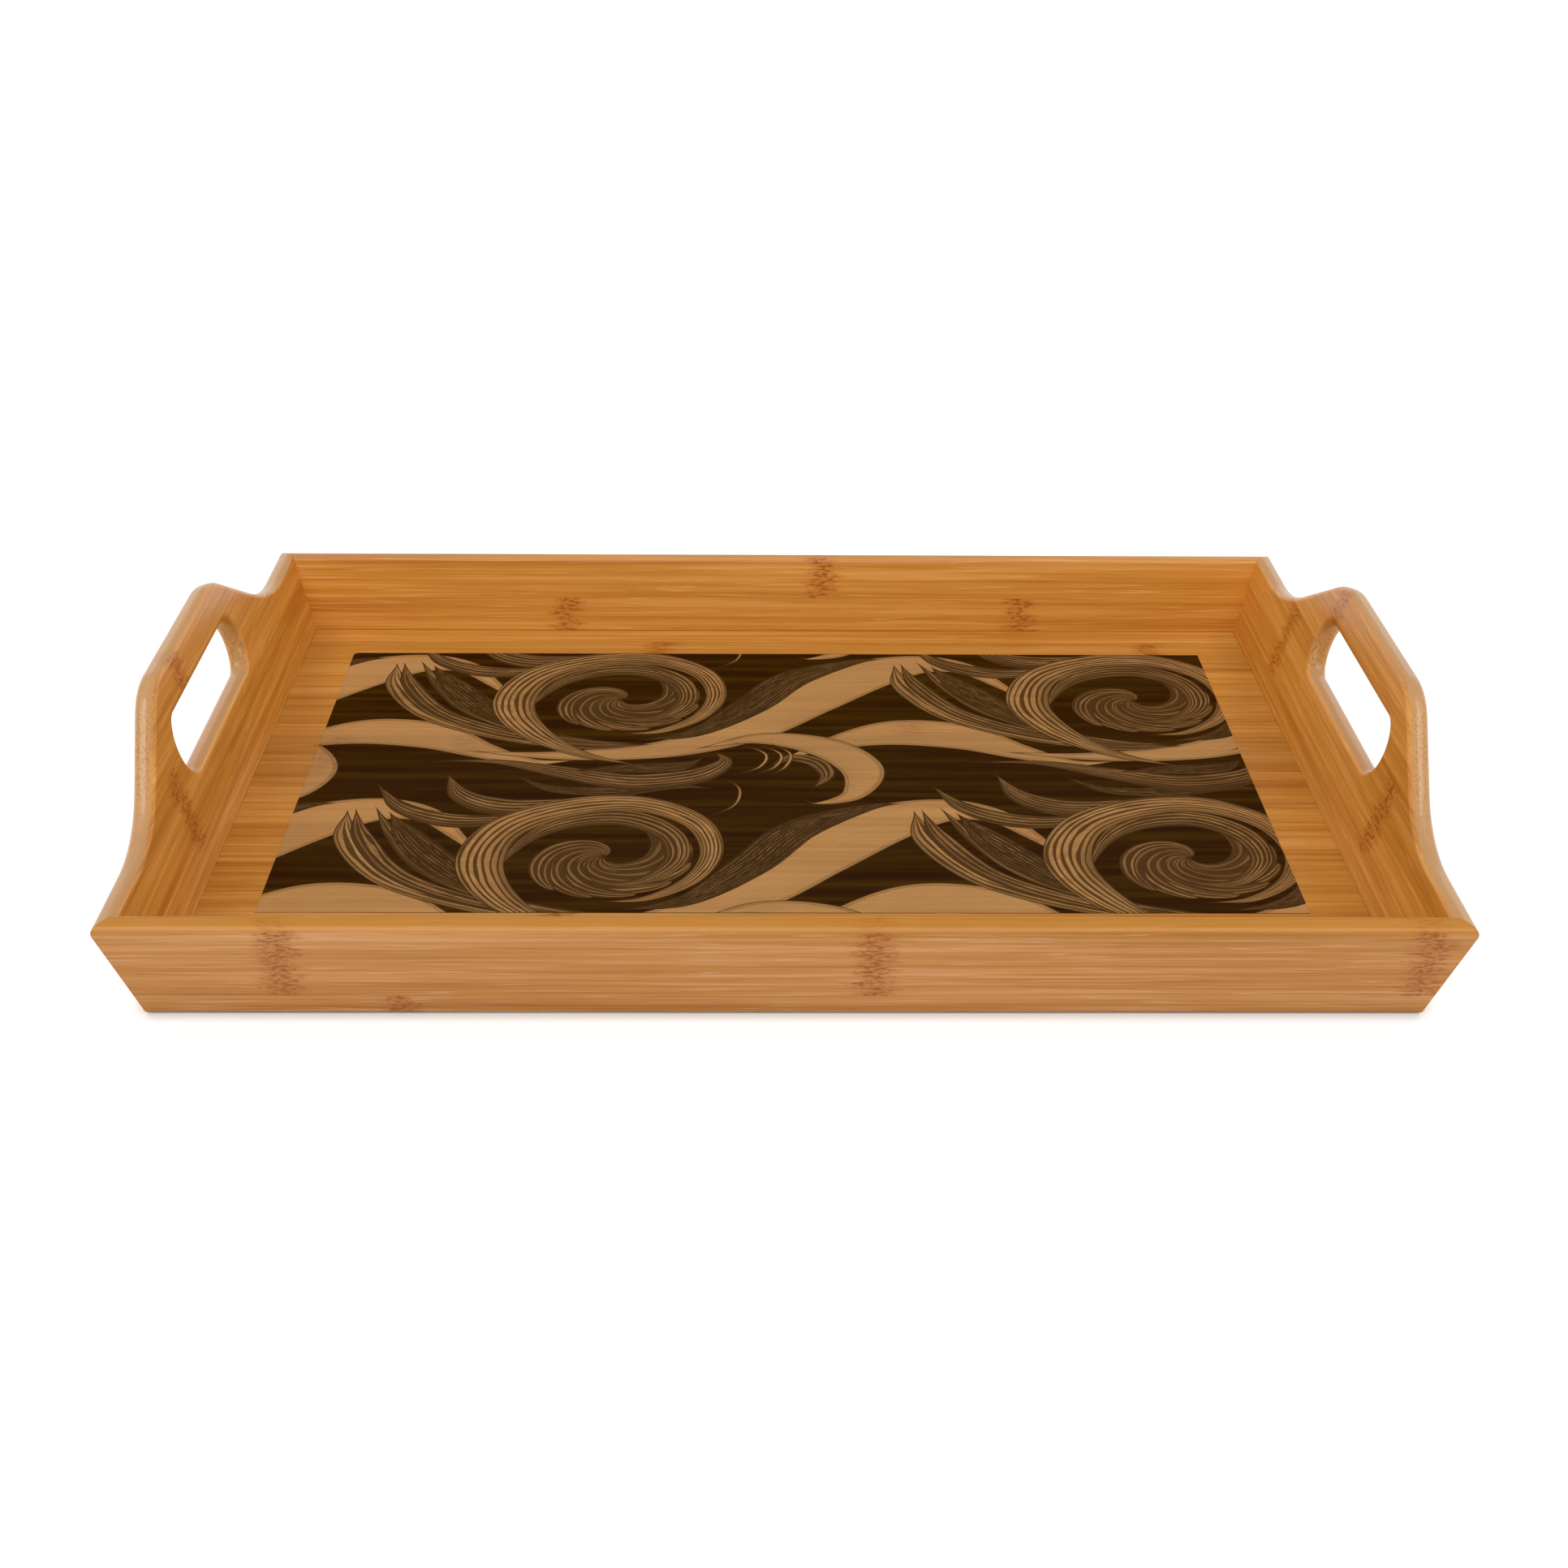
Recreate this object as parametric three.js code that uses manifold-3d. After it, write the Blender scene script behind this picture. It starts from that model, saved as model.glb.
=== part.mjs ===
// Laminated bamboo serving tray: four flared walls mitred at the corners, two of them with a hand slot,
// around a floor panel of edge-glued strips that sits in a groove and carries a printed layer.
// Millimetres, +Z up, +X along the long side, origin on the table under the centre of the tray.
import * as THREE from "three";
import { mergeVertices } from "three/addons/utils/BufferGeometryUtils.js";
import Module from "manifold-3d";

const wasm = await Module();
wasm.setup();

// Overall shape
const trayLength = 445; // between the outer top corners of the end walls' low shoulders
const trayWidth = 340; // between the outer top edges of the two rails
const flare = THREE.MathUtils.degToRad(17.5); // lean of every wall away from vertical
const wallThickness = 8;
const railHeight = 40; // up the slope of a wall, from the base to its top edge
const edgeRound = 3; // roundover on the top edges and around the hand slots
const baseRound = 2; // roundover where the outer faces meet the base
const roundSteps = 4; // facets in a roundover

// Handle outline of an end wall, measured up the slope
const handleHeight = 73;
const handleFlat = 101.5; // width of the grip's top where its straight slopes would meet it
const handleSlope = THREE.MathUtils.degToRad(29);
const shoulderRadius = 45; // convex bend between the grip's top and the slope
const hollowRadius = 90; // concave bend between the slope and the low shoulder
const slotLength = 108;
const slotHeight = 21.5;
const gripBar = 16.5; // wood left above the hand slot

// Seams between the glued strips of a wall, measured up the slope from the base
const frontSeam = 9;
const rearSeam = 21;
const endSeam = 16; // an end wall's second seam runs along the middle of its hand slot

// Floor panel and what seats it
const floorThickness = 5;
const floorRecess = 3.5; // underside of the panel above the table
const grooveDepth = 3.5; // how far the panel reaches into each wall
const floorStripCount = 10;
const rearStripWidth = 15.5; // the strip against the rear rail is cut narrower
const printThickness = 0.1;
const printEndMargin = 20.8; // bare wood between the print and each end wall
const printFrontMargin = 47;
const printRearMargin = 27;

// Loose spline across each mitre
const splineThickness = 2.4;
const splineWidth = 8;
const splineLift = 3.5; // wood between the floor panel's top and the spline's foot
const splineCover = 4; // wood between the spline's head and the rails' outer top edge
const splineInset = 1; // towards the inside of the tray from the middle of the mitre

// Clearances
const glueLine = 0.1; // between glued faces
const seatGap = 0.2; // around the panel's faces and around a spline
const panelPlay = 0.5; // beyond the panel's edges, for movement of the wood
const printGap = 0.02; // under the print

// Worked out from the above
const baseLength = trayLength - 2 * railHeight * Math.sin(flare);
const baseWidth = trayWidth - 2 * railHeight * Math.sin(flare);
const wallAcross = wallThickness / Math.cos(flare); // a wall's thickness measured level
const floorTop = floorRecess + floorThickness;
const grooveInset = wallAcross - grooveDepth - floorRecess * Math.tan(flare); // from the base edge to the panel
const panelLength = baseLength - 2 * grooveInset;
const panelWidth = baseWidth - 2 * grooveInset;
const slotCentre = handleHeight - gripBar - slotHeight / 2;
const floorInset = wallAcross - floorTop * Math.tan(flare); // from the base edge to where the floor meets a wall
const hipTilt = Math.atan(Math.SQRT2 * Math.tan(flare)); // lean of a corner line away from vertical
const splineFoot = floorTop + splineLift;
const splineHeight = (railHeight * Math.cos(flare) - splineCover - splineFoot) / Math.cos(hipTilt);
const far = 2 * (trayLength + trayWidth); // longer than any piece, for cutting blocks

const finishes = {
  rail: new THREE.MeshStandardMaterial({ color: 0xc98f56, roughness: 0.45, metalness: 0 }),
  end: new THREE.MeshStandardMaterial({ color: 0xbd7b35, roughness: 0.45, metalness: 0 }),
  floor: new THREE.MeshStandardMaterial({ color: 0xcd9150, roughness: 0.45, metalness: 0 }),
  spline: new THREE.MeshStandardMaterial({ color: 0xd9b98a, roughness: 0.8, metalness: 0 }),
  print: new THREE.MeshStandardMaterial({ color: 0x33240d, roughness: 0.4, metalness: 0 }),
};

// Solid of a three.js geometry, placed by a matrix
function solidOf(geometry, matrix = new THREE.Matrix4()) {
  const bare = (geometry.index ? geometry.toNonIndexed() : geometry.clone()).applyMatrix4(matrix);
  bare.deleteAttribute("normal");
  bare.deleteAttribute("uv");
  const merged = mergeVertices(bare, 1e-4);
  return new wasm.Manifold(
    new wasm.Mesh({
      numProp: 3,
      vertProperties: merged.attributes.position.array,
      triVerts: new Uint32Array(merged.index.array),
    }),
  );
}

// three.js geometry of a cut solid
function geometryOf(solid) {
  const mesh = solid.getMesh();
  const points = new Float32Array(mesh.numVert * 3);
  for (let i = 0; i < mesh.numVert; i++) {
    points.set(mesh.vertProperties.subarray(i * mesh.numProp, i * mesh.numProp + 3), i * 3);
  }
  const geometry = new THREE.BufferGeometry();
  geometry.setAttribute("position", new THREE.BufferAttribute(points, 3));
  geometry.setIndex(new THREE.BufferAttribute(mesh.triVerts, 1));
  geometry.computeVertexNormals();
  return geometry;
}

function namedMesh(name, geometry, finish) {
  const mesh = new THREE.Mesh(geometry, finishes[finish]);
  mesh.name = name;
  return mesh;
}

// A wall's own frame: x along the wall, y up its slope from the base's outer edge, z out through its outer face.
// Turning the frame about the tray's axis by 0, 90, 180 or 270 degrees gives the front, right, rear or left wall.
function wallFrame(turn, baseDepth) {
  const side = new THREE.Group();
  side.rotation.z = turn;
  const face = new THREE.Group();
  face.position.y = -baseDepth / 2;
  face.rotation.x = Math.PI / 2 + flare;
  side.add(face);
  side.updateMatrixWorld(true);
  return { side, face };
}

// Block that trims a wall to its two mitres and its level base. At height y up the slope and z out of the
// outer face, a mitre stands baseSpan / 2 + y sin(flare) + z cos(flare) from the wall's middle.
function mitreBlock(baseSpan) {
  const block = new THREE.BoxGeometry(2, 2, 2);
  const corner = block.attributes.position;
  for (let i = 0; i < corner.count; i++) {
    const z = corner.getZ(i) * 2 * wallThickness;
    const y = corner.getY(i) < 0 ? z * Math.tan(flare) : 2 * handleHeight;
    const reach = baseSpan / 2 - glueLine / 2 + y * Math.sin(flare) + z * Math.cos(flare);
    corner.setXYZ(i, corner.getX(i) * reach, y, z);
  }
  return solidOf(block);
}

// Board cut to an outline, with its edges rounded over on both faces
function roundedBoard(outline) {
  const board = new THREE.ExtrudeGeometry(outline, {
    depth: wallThickness - 2 * edgeRound,
    bevelEnabled: true,
    bevelThickness: edgeRound,
    bevelSize: edgeRound,
    bevelOffset: -edgeRound,
    bevelSegments: roundSteps,
    curveSegments: 10,
  });
  return solidOf(board, new THREE.Matrix4().makeTranslation(0, 0, edgeRound - wallThickness));
}

// Sliver outside the roundover between the outer face and the level base, run along the whole wall
function baseEdgeCut() {
  const tangent = baseRound * Math.tan((Math.PI / 2 - flare) / 2);
  const centreAcross = -baseRound;
  const section = new THREE.Shape();
  section.moveTo(wallThickness, tangent);
  section.lineTo(0, tangent);
  section.absarc(centreAcross, tangent, baseRound, 0, flare - Math.PI / 2, true);
  section.lineTo(-tangent * Math.cos(flare), -wallThickness);
  section.lineTo(wallThickness, -wallThickness);
  section.closePath();
  const strip = new THREE.ExtrudeGeometry(section, { depth: far, bevelEnabled: false, curveSegments: 2 * roundSteps });
  const alongWall = new THREE.Matrix4().makeBasis(
    new THREE.Vector3(0, 0, 1),
    new THREE.Vector3(0, 1, 0),
    new THREE.Vector3(-1, 0, 0),
  );
  return solidOf(strip, alongWall.setPosition(far / 2, 0, 0));
}

// Slab between two heights up the slope, for parting a board into its glued strips
function stripSlab(low, high) {
  const slab = new THREE.BoxGeometry(far, high - low, far);
  return solidOf(slab, new THREE.Matrix4().makeTranslation(0, (low + high) / 2, 0));
}

function railOutline() {
  const outline = new THREE.Shape();
  outline.moveTo(-far / 2, -railHeight);
  outline.lineTo(far / 2, -railHeight);
  outline.lineTo(far / 2, railHeight);
  outline.lineTo(-far / 2, railHeight);
  outline.closePath();
  return outline;
}

// End wall: low shoulders at the rails' height, a concave bend, a straight slope and a convex bend to the grip
function endOutline() {
  const outline = new THREE.Shape();
  const slopeRun = (handleHeight - railHeight) / Math.tan(handleSlope);
  const hollowStart = handleFlat / 2 + slopeRun + hollowRadius * Math.tan(handleSlope / 2);
  const gripEnd = handleFlat / 2 - shoulderRadius * Math.tan(handleSlope / 2);
  outline.moveTo(-far / 2, -railHeight);
  outline.lineTo(far / 2, -railHeight);
  outline.lineTo(far / 2, railHeight);
  outline.absarc(hollowStart, railHeight + hollowRadius, hollowRadius, -Math.PI / 2, -Math.PI / 2 - handleSlope, true);
  outline.absarc(gripEnd, handleHeight - shoulderRadius, shoulderRadius, Math.PI / 2 - handleSlope, Math.PI / 2, false);
  outline.absarc(-gripEnd, handleHeight - shoulderRadius, shoulderRadius, Math.PI / 2, Math.PI / 2 + handleSlope, false);
  outline.absarc(-hollowStart, railHeight + hollowRadius, hollowRadius, handleSlope - Math.PI / 2, -Math.PI / 2, true);
  outline.lineTo(-far / 2, railHeight);
  outline.closePath();

  const slot = new THREE.Path();
  const radius = slotHeight / 2;
  const straight = slotLength / 2 - radius;
  slot.absarc(straight, slotCentre, radius, -Math.PI / 2, Math.PI / 2, false);
  slot.absarc(-straight, slotCentre, radius, Math.PI / 2, (3 * Math.PI) / 2, false);
  slot.closePath();
  outline.holes.push(slot);
  return outline;
}

// Splines: one group per corner, its x axis pointing out along the mitre
const corners = [
  { name: "front_right", x: 1, y: -1 },
  { name: "rear_right", x: 1, y: 1 },
  { name: "rear_left", x: -1, y: 1 },
  { name: "front_left", x: -1, y: -1 },
];

function splineBox(gap) {
  return new THREE.BoxGeometry(splineThickness + 2 * gap, splineWidth + 2 * gap, splineHeight + 2 * gap);
}

function splineGroup(corner) {
  const group = new THREE.Group();
  group.position.set((corner.x * baseLength) / 2, (corner.y * baseWidth) / 2, 0);
  group.rotation.z = Math.atan2(corner.y, corner.x);
  const lean = new THREE.Group();
  lean.position.x = -(wallAcross * Math.SQRT2) / 2 - splineInset;
  lean.rotation.y = hipTilt;
  const spline = namedMesh(`${corner.name}_corner_spline`, splineBox(0), "spline");
  spline.position.z = splineFoot / Math.cos(hipTilt) + splineHeight / 2;
  lean.add(spline);
  group.add(lean);
  group.updateMatrixWorld(true);
  return { group, spline };
}

const splines = corners.map(splineGroup);

// Everything that is let into the walls: the panel's groove and the spline slots, in the tray's frame
function wallCuts() {
  const groove = new THREE.BoxGeometry(
    panelLength + 2 * panelPlay,
    panelWidth + 2 * panelPlay,
    floorThickness + 2 * seatGap,
  );
  const cuts = [solidOf(groove, new THREE.Matrix4().makeTranslation(0, 0, floorRecess + floorThickness / 2))];
  splines.forEach(({ spline }) => cuts.push(solidOf(splineBox(seatGap), spline.matrixWorld)));
  return cuts;
}

const letIn = wallCuts();
const edgeCut = baseEdgeCut();

// One wall: the board, trimmed, let in and parted into its strips
function buildWall({ turn, baseSpan, baseDepth, outline, top, seams, stripNames, finish }) {
  const { side, face } = wallFrame(turn, baseDepth);
  let board = roundedBoard(outline).intersect(mitreBlock(baseSpan)).subtract(edgeCut);
  const intoWall = face.matrixWorld.clone().invert();
  letIn.forEach((cut) => {
    board = board.subtract(cut.transform(intoWall.toArray()));
  });
  const levels = [-wallThickness, ...seams, top + wallThickness];
  stripNames.forEach((name, i) => {
    const slab = stripSlab(levels[i] + glueLine / 2, levels[i + 1] - glueLine / 2);
    face.add(namedMesh(name, geometryOf(board.intersect(slab)), finish));
  });
  return side;
}

const stripNamesOf = (wall, places) => places.map((place) => `${wall}_${place}_strip`);

const walls = [
  {
    turn: 0,
    baseSpan: baseLength,
    baseDepth: baseWidth,
    outline: railOutline(),
    top: railHeight,
    seams: [frontSeam],
    stripNames: stripNamesOf("front_rail", ["lower", "upper"]),
    finish: "rail",
  },
  {
    turn: Math.PI,
    baseSpan: baseLength,
    baseDepth: baseWidth,
    outline: railOutline(),
    top: railHeight,
    seams: [rearSeam],
    stripNames: stripNamesOf("rear_rail", ["lower", "upper"]),
    finish: "rail",
  },
  {
    turn: Math.PI / 2,
    baseSpan: baseWidth,
    baseDepth: baseLength,
    outline: endOutline(),
    top: handleHeight,
    seams: [endSeam, slotCentre],
    stripNames: stripNamesOf("right_end_wall", ["lower", "middle", "grip"]),
    finish: "end",
  },
  {
    turn: -Math.PI / 2,
    baseSpan: baseWidth,
    baseDepth: baseLength,
    outline: endOutline(),
    top: handleHeight,
    seams: [endSeam, slotCentre],
    stripNames: stripNamesOf("left_end_wall", ["lower", "middle", "grip"]),
    finish: "end",
  },
].map(buildWall);

// Floor panel: a narrow strip at the rear, then equal strips to the front
function floorPanel() {
  const panel = new THREE.Group();
  panel.position.z = floorRecess + floorThickness / 2;
  const fullWidth = (panelWidth - rearStripWidth) / (floorStripCount - 1);
  let rearEdge = panelWidth / 2;
  for (let i = 0; i < floorStripCount; i++) {
    const width = i === 0 ? rearStripWidth : fullWidth;
    const strip = new THREE.BoxGeometry(panelLength, width - glueLine, floorThickness);
    const mesh = namedMesh(`floor_strip_${String(i + 1).padStart(2, "0")}`, strip, "floor");
    mesh.position.y = rearEdge - width / 2;
    panel.add(mesh);
    rearEdge -= width;
  }
  return panel;
}

function printedLayer() {
  const length = baseLength - 2 * (floorInset + printEndMargin);
  const width = baseWidth - 2 * floorInset - printFrontMargin - printRearMargin;
  const layer = namedMesh("printed_layer", new THREE.BoxGeometry(length, width, printThickness), "print");
  layer.position.set(0, (printFrontMargin - printRearMargin) / 2, floorTop + printGap + printThickness / 2);
  return layer;
}

const tray = new THREE.Group();
tray.add(...walls, floorPanel(), printedLayer(), ...splines.map(({ group }) => group));

export default tray;
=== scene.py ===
import math
import bpy
import bmesh
import numpy as np
from mathutils import Matrix, Vector


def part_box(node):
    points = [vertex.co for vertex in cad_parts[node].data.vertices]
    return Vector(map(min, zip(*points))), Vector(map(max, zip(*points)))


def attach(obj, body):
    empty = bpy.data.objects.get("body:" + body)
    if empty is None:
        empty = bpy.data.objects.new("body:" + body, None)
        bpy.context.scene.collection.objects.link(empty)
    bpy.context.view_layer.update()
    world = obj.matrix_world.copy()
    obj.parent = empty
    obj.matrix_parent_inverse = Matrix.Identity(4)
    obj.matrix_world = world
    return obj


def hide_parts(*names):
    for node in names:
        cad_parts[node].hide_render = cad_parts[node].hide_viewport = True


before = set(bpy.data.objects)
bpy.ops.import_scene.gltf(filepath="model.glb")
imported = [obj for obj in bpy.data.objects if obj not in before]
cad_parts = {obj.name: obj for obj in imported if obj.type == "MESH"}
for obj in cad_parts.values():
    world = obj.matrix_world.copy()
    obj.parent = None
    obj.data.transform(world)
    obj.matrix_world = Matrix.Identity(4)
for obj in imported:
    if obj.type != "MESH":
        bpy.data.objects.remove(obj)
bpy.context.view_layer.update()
mm = 0.001

# The joinery of the tray, in metres and radians. What the frame can tell is measured from it below.
joinery = {
    "flare": math.radians(17.5),  # lean of every wall away from upright
    "wall": 8 * mm,  # board thickness
    "topRound": 3 * mm,  # roundover on the top edges and round the hand slots
    "baseRound": 2 * mm,  # roundover where an outer face meets the base
    "support": 0.4 * mm,  # from a round to the row of points that keeps the face beside it flat
    "sharp": math.radians(32),  # a crease steeper than this shades as an edge
    "seamGap": 0.02 * mm,  # glue line that shows between two strips
    "grooveSlack": 0.2 * mm,  # above and below the floor panel in its groove
    "groovePlay": 0.5 * mm,  # beyond the panel's edge
}
flare = joinery["flare"]
wall = joinery["wall"]
lean = math.sin(flare)
rise = math.cos(flare)


def seamOf(node):
    # Height up the slope of a strip's square-cut top edge: its highest corner is on the inner face
    return (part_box(node)[1].z - wall * lean) / rise


def crestOf(node):
    # The same for a rounded top edge, whose highest point lies over the inner roundover's centre
    radius = joinery["topRound"]
    return (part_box(node)[1].z - radius - (wall - radius) * lean) / rise + radius


frontSeam = seamOf("front_rail_lower_strip")
rearSeam = seamOf("rear_rail_lower_strip")
endSeam = seamOf("right_end_wall_lower_strip")
slotSeam = seamOf("right_end_wall_middle_strip")
railTop = crestOf("front_rail_upper_strip")
gripTop = crestOf("right_end_wall_grip_strip")
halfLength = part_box("front_rail_lower_strip")[1].x - frontSeam * lean  # of the base's outer edges
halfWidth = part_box("right_end_wall_lower_strip")[1].y - endSeam * lean
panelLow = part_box("floor_strip_10")[0]
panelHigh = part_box("floor_strip_01")[1]
base = f"{2 * halfLength / mm:.1f} x {2 * halfWidth / mm:.1f} mm"
print(f"tray: base {base}, grip {gripTop / mm:.1f} mm up the slope")


# Camera, light and backdrop
studio = {
    "camera": (-13.5 * mm, -822 * mm, 410.5 * mm),
    "lookDown": math.radians(26.144),
    "lookRight": math.radians(1.031),
    "roll": math.radians(0.564),
    "lens": 54.04,  # millimetres, on a 36 mm square sensor
    "sensor": 36,
    "sweep": 1.15,  # brightness of the white sweep that curves up behind the tray
    "sweepTop": (0.21, 0.35),  # it fades out between these sines of the height, about 12 to 20 degrees
    "sweepSides": (-0.35, 0.25),  # and towards the front between these, from the front at -1 to the rear at 1
    "room": 0.14,  # brightness of the dim room in front of it and above
    "key": 2.0,  # a wide soft light from the front
    "keyHeight": math.radians(48),
    "keyTurn": math.radians(-2),
    "keySpread": math.radians(50),
    "softboxes": {  # place and size in metres, and watts
        "softbox_left": ((-1.05, 0.25, 1.25), (0.6, 0.35), 4.5),
        "softbox_right": ((1.05, 0.25, 1.25), (0.6, 0.35), 4.5),
        "softbox_overhead": ((0.0, -0.1, 1.5), (1.2, 0.8), 1.0),
    },
    "aim": (0, 0, 30 * mm),  # where the softboxes point
    "reach": 8.0,  # of the backdrop from its middle, in metres
    "paper": 0.60,  # how light the backdrop is
    "glow": 0.62,  # and the light of its own, as on a lit table
    "contact": 6 * mm,  # width of the thin shadow where the tray touches it
    "contactSamples": 4,
}


def addCamera():
    # Looks down and a little to the right, and is rolled a little about the line it looks along
    down, aside, roll = studio["lookDown"], studio["lookRight"], studio["roll"]
    forward = Vector((math.sin(aside) * math.cos(down), math.cos(aside) * math.cos(down), -math.sin(down)))
    level = Vector((math.cos(aside), -math.sin(aside), 0))
    upright = level.cross(forward)
    right = math.cos(roll) * level + math.sin(roll) * upright
    up = math.cos(roll) * upright - math.sin(roll) * level
    data = bpy.data.cameras.new("camera")
    data.lens = studio["lens"]
    data.sensor_width = studio["sensor"]
    data.clip_start = 0.01
    data.clip_end = 50
    camera = bpy.data.objects.new("camera", data)
    turn = Matrix((right, up, -forward)).transposed()
    camera.matrix_world = Matrix.Translation(studio["camera"]) @ turn.to_4x4()
    bpy.context.scene.collection.objects.link(camera)
    bpy.context.scene.camera = camera


def addSoftbox(name, place, size, power):
    # A rectangle of light that faces the tray
    data = bpy.data.lights.new(name, "AREA")
    data.shape = "RECTANGLE"
    data.size, data.size_y = size
    data.energy = power
    box = bpy.data.objects.new(name, data)
    aim = Vector(studio["aim"]) - Vector(place)
    box.matrix_world = Matrix.Translation(place) @ aim.to_track_quat("-Z", "Y").to_matrix().to_4x4()
    bpy.context.scene.collection.objects.link(box)


def addKey():
    # Parallel light from the front, softened by its spread
    data = bpy.data.lights.new("key", "SUN")
    data.energy = studio["key"]
    data.angle = studio["keySpread"]
    key = bpy.data.objects.new("key", data)
    key.rotation_euler = (math.pi / 2 - studio["keyHeight"], 0, studio["keyTurn"])
    bpy.context.scene.collection.objects.link(key)


def addSky():
    # The sweep reaches round behind the tray. The camera itself sees plain white past the backdrop.
    world = bpy.data.worlds.new("studio")
    bpy.context.scene.world = world
    world.use_nodes = True
    nodes, links = world.node_tree.nodes, world.node_tree.links

    def fade(source, low, high, start, end):
        ramp = nodes.new("ShaderNodeMapRange")
        ramp.interpolation_type = "SMOOTHSTEP"
        links.new(source, ramp.inputs["Value"])
        for name, value in (("From Min", low), ("From Max", high), ("To Min", start), ("To Max", end)):
            ramp.inputs[name].default_value = value
        return ramp.outputs[0]

    parts = nodes.new("ShaderNodeSeparateXYZ")
    links.new(nodes.new("ShaderNodeTexCoord").outputs["Generated"], parts.inputs[0])
    low = fade(parts.outputs["Z"], *studio["sweepTop"], 1.0, 0.0)
    behind = fade(parts.outputs["Y"], *studio["sweepSides"], 0.0, 1.0)
    both = nodes.new("ShaderNodeMath")
    both.operation = "MULTIPLY"
    links.new(low, both.inputs[0])
    links.new(behind, both.inputs[1])
    light = fade(both.outputs[0], 0.0, 1.0, studio["room"], studio["sweep"])
    links.new(light, nodes["Background"].inputs["Strength"])
    white = nodes.new("ShaderNodeBackground")
    seen = nodes.new("ShaderNodeMixShader")
    links.new(nodes.new("ShaderNodeLightPath").outputs["Is Camera Ray"], seen.inputs[0])
    links.new(nodes["Background"].outputs[0], seen.inputs[1])
    links.new(white.outputs[0], seen.inputs[2])
    links.new(seen.outputs[0], nodes["World Output"].inputs["Surface"])
    for background in (nodes["Background"], white):
        background.inputs["Color"].default_value = (1, 1, 1, 1)


def addStudio():
    addSky()
    addKey()
    for name, settings in studio["softboxes"].items():
        addSoftbox(name, *settings)
    addBackdrop()


def addBackdrop():
    # A level sheet of paper that glows, dimmed close to whatever stands on it
    floor = bpy.data.meshes.new("backdrop")
    reach = studio["reach"]
    corners = [(-reach, -reach, 0), (reach, -reach, 0), (reach, reach, 0), (-reach, reach, 0)]
    floor.from_pydata(corners, [], [(0, 1, 2, 3)])
    backdrop = bpy.data.objects.new("backdrop", floor)
    bpy.context.scene.collection.objects.link(backdrop)
    paper = bpy.data.materials.new("backdrop")
    paper.use_nodes = True
    surface = paper.node_tree.nodes["Principled BSDF"]
    surface.inputs["Base Color"].default_value = (studio["paper"],) * 3 + (1,)
    surface.inputs["Roughness"].default_value = 0.9
    surface.inputs["Specular IOR Level"].default_value = 0.1
    surface.inputs["Emission Strength"].default_value = studio["glow"]
    nearby = paper.node_tree.nodes.new("ShaderNodeAmbientOcclusion")
    nearby.samples = studio["contactSamples"]
    nearby.inputs["Distance"].default_value = studio["contact"]
    paper.node_tree.links.new(nearby.outputs["Color"], surface.inputs["Emission Color"])
    floor.materials.append(paper)


addCamera()
addStudio()
bpy.context.scene.view_settings.view_transform = "Standard"
print("studio: camera, sweep, key, softboxes and a pale backdrop")


# Finishes
def linear(red, green, blue):
    # A colour given as it shows on a screen, 0 to 255, as linear light
    share = np.array((red, green, blue)) / 255
    light = np.where(share <= 0.04045, share / 12.92, ((share + 0.055) / 1.055) ** 2.4)
    return (*light.tolist(), 1.0)


def toned(shade, tone):
    # The same made lighter or darker by one number, or by three for red, green and blue
    return (*(np.array(linear(*shade)[:3]) * tone).tolist(), 1.0)


class Shader:
    # Short names for the shader nodes that the finishes are wired from
    def __init__(self, name):
        self.material = bpy.data.materials.new(name)
        self.material.use_nodes = True
        self.tree = self.material.node_tree
        self.surface = self.tree.nodes["Principled BSDF"]

    def node(self, kind, inputs=(), **settings):
        made = self.tree.nodes.new(kind)
        for key, value in settings.items():
            setattr(made, key, value)
        for key, value in dict(inputs).items():
            if isinstance(value, bpy.types.NodeSocket):
                self.tree.links.new(value, made.inputs[key])
            else:
                made.inputs[key].default_value = value
        return made

    def math(self, operation, first, second=0.0, third=0.0):
        return self.node("ShaderNodeMath", {0: first, 1: second, 2: third}, operation=operation).outputs[0]

    def times(self, first, second):
        return self.math("MULTIPLY", first, second)

    def vector(self, operation, first, second):
        return self.node("ShaderNodeVectorMath", {0: first, 1: second}, operation=operation).outputs[0]

    def parted(self, vector):
        return self.node("ShaderNodeSeparateXYZ", {0: vector}).outputs

    def joined(self, x, y, z=0.0):
        return self.node("ShaderNodeCombineXYZ", {0: x, 1: y, 2: z}).outputs[0]

    def ease(self, value, low, high, start=0.0, end=1.0):
        # start below low, end above high, and a smooth step between
        inputs = {"Value": value, "From Min": low, "From Max": high, "To Min": start, "To Max": end}
        return self.node("ShaderNodeMapRange", inputs, interpolation_type="SMOOTHSTEP").outputs[0]

    def near(self, value, middle, core, edge, strength=1.0):
        # strength within core of the middle value, easing to none at the edge
        distance = self.math("ABSOLUTE", self.math("SUBTRACT", value, middle))
        return self.ease(distance, core, edge, strength, 0.0)

    def shown(self, value, low, high, strength):
        # none below low, strength above high
        return self.times(self.ease(value, low, high), strength)

    def noise(self, coordinate, detail=2.0, rough=0.5):
        inputs = {"Vector": coordinate, "Scale": 1.0, "Detail": detail, "Roughness": rough}
        return self.node("ShaderNodeTexNoise", inputs).outputs["Fac"]

    def blend(self, share, first, second, kind="MIX"):
        mix = self.node("ShaderNodeMix", data_type="RGBA", blend_type=kind)
        for socket, value in ((mix.inputs[0], share), (mix.inputs[6], first), (mix.inputs[7], second)):
            if isinstance(value, bpy.types.NodeSocket):
                self.tree.links.new(value, socket)
            else:
                socket.default_value = value
        return mix.outputs[2]


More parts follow.
